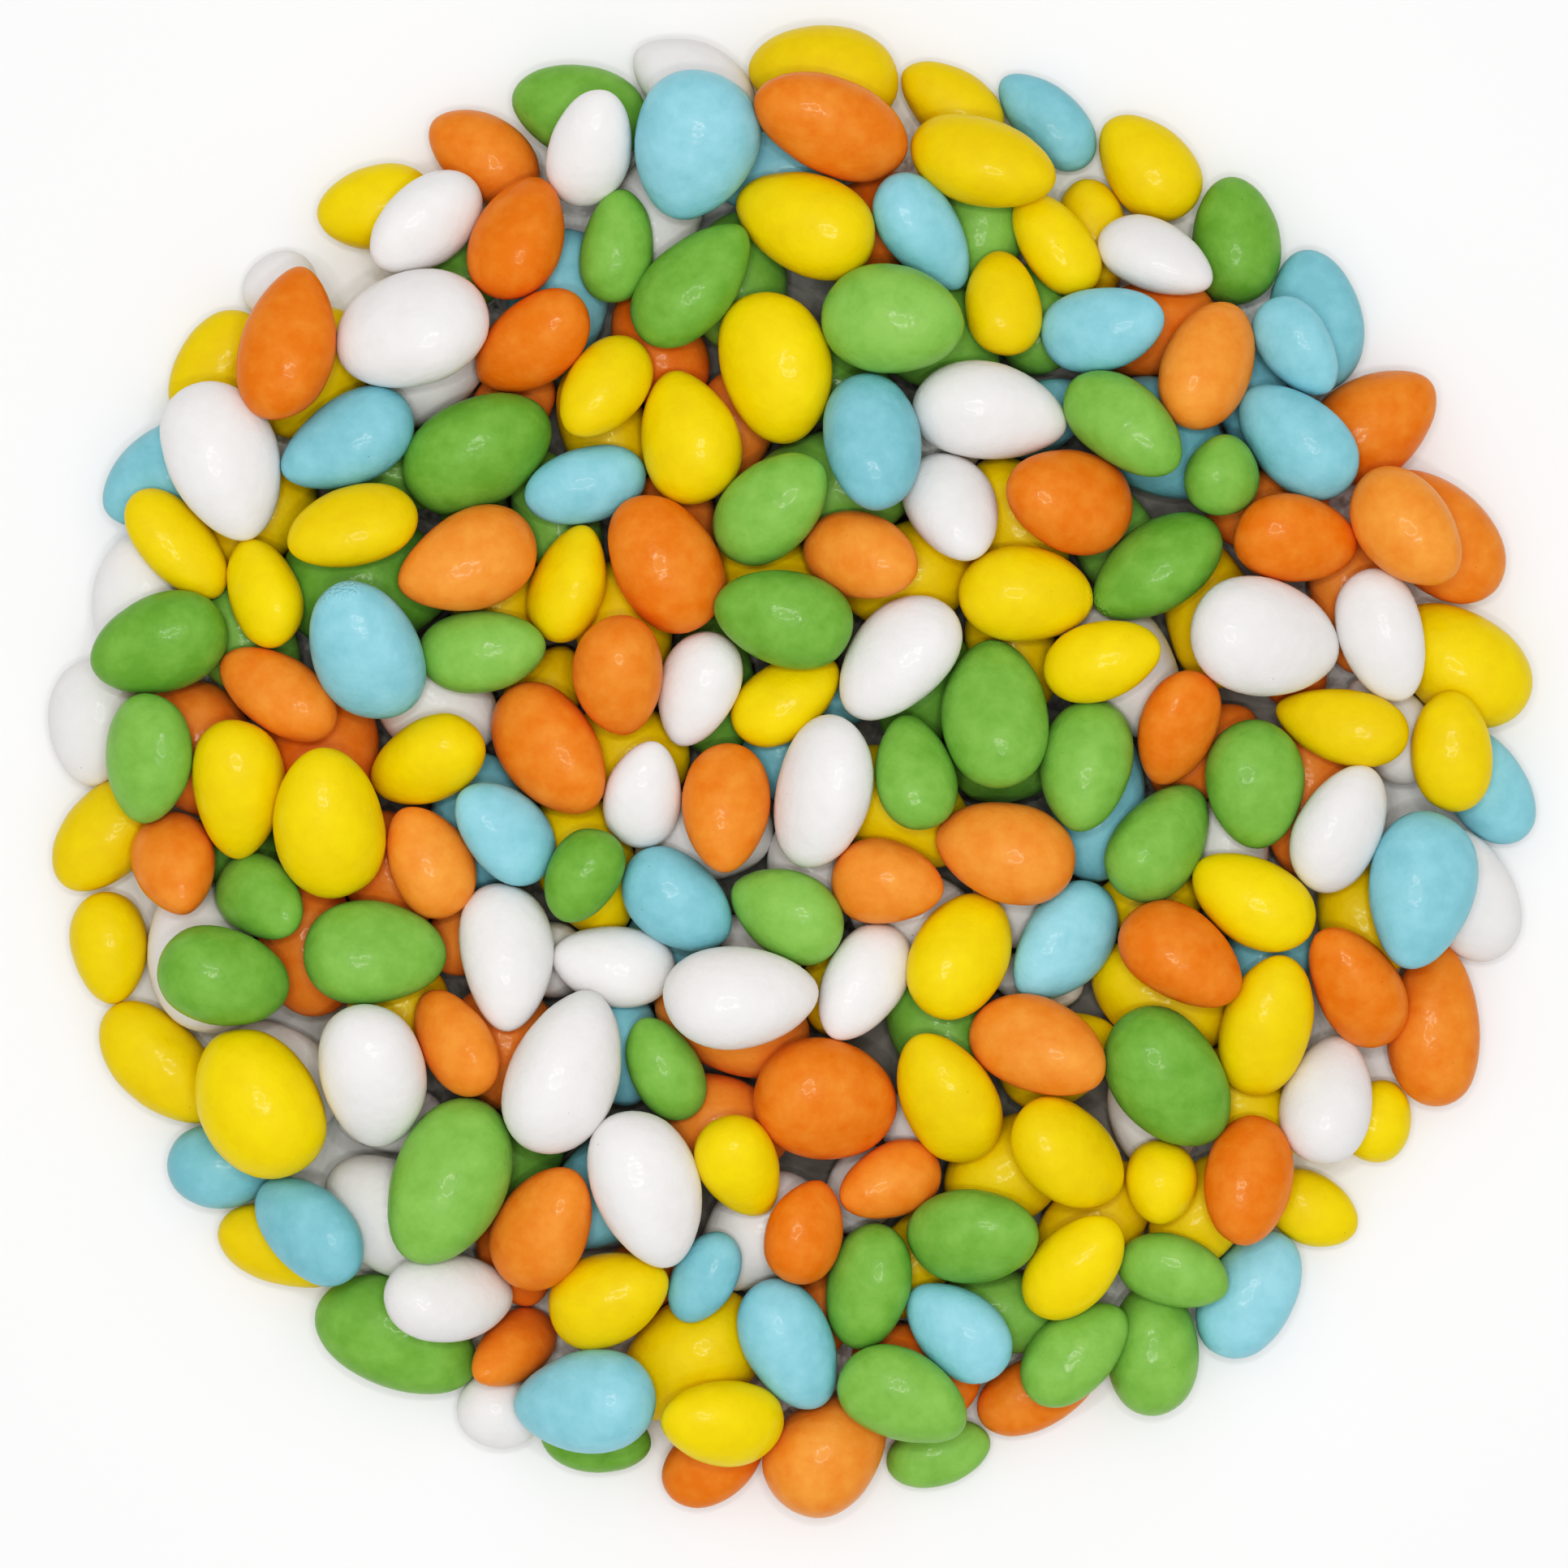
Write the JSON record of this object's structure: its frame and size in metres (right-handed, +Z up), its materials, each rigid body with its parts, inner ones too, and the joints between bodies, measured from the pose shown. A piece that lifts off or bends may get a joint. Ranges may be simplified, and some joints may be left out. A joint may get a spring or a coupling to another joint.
{
  "type": "sugared almonds",
  "caption": "Flat round heap of sugar-coated almonds, two deep, in yellow, orange, green, white and pale blue, lying as tipped out and spread on a table.",
  "frame": {"origin": "middle of the heap's flat underside, on the surface that it lies on", "axes": "+Z up through the heap's small height; +X and +Y level, seen to the right and upwards when looking straight down on the heap as the picture does"},
  "size_m": [0.2796, 0.2804, 0.0351],
  "materials": {
    "sugar_yellow": "satin sugar shell, bright yellow",
    "sugar_orange": "satin sugar shell, warm orange",
    "sugar_green": "satin sugar shell, leaf green",
    "sugar_white": "satin sugar shell, white",
    "sugar_blue": "satin sugar shell, pale blue"
  },
  "bodies": {
    "root": {"sugared_almonds": "sugar_yellow"}
  },
  "joints": []
}
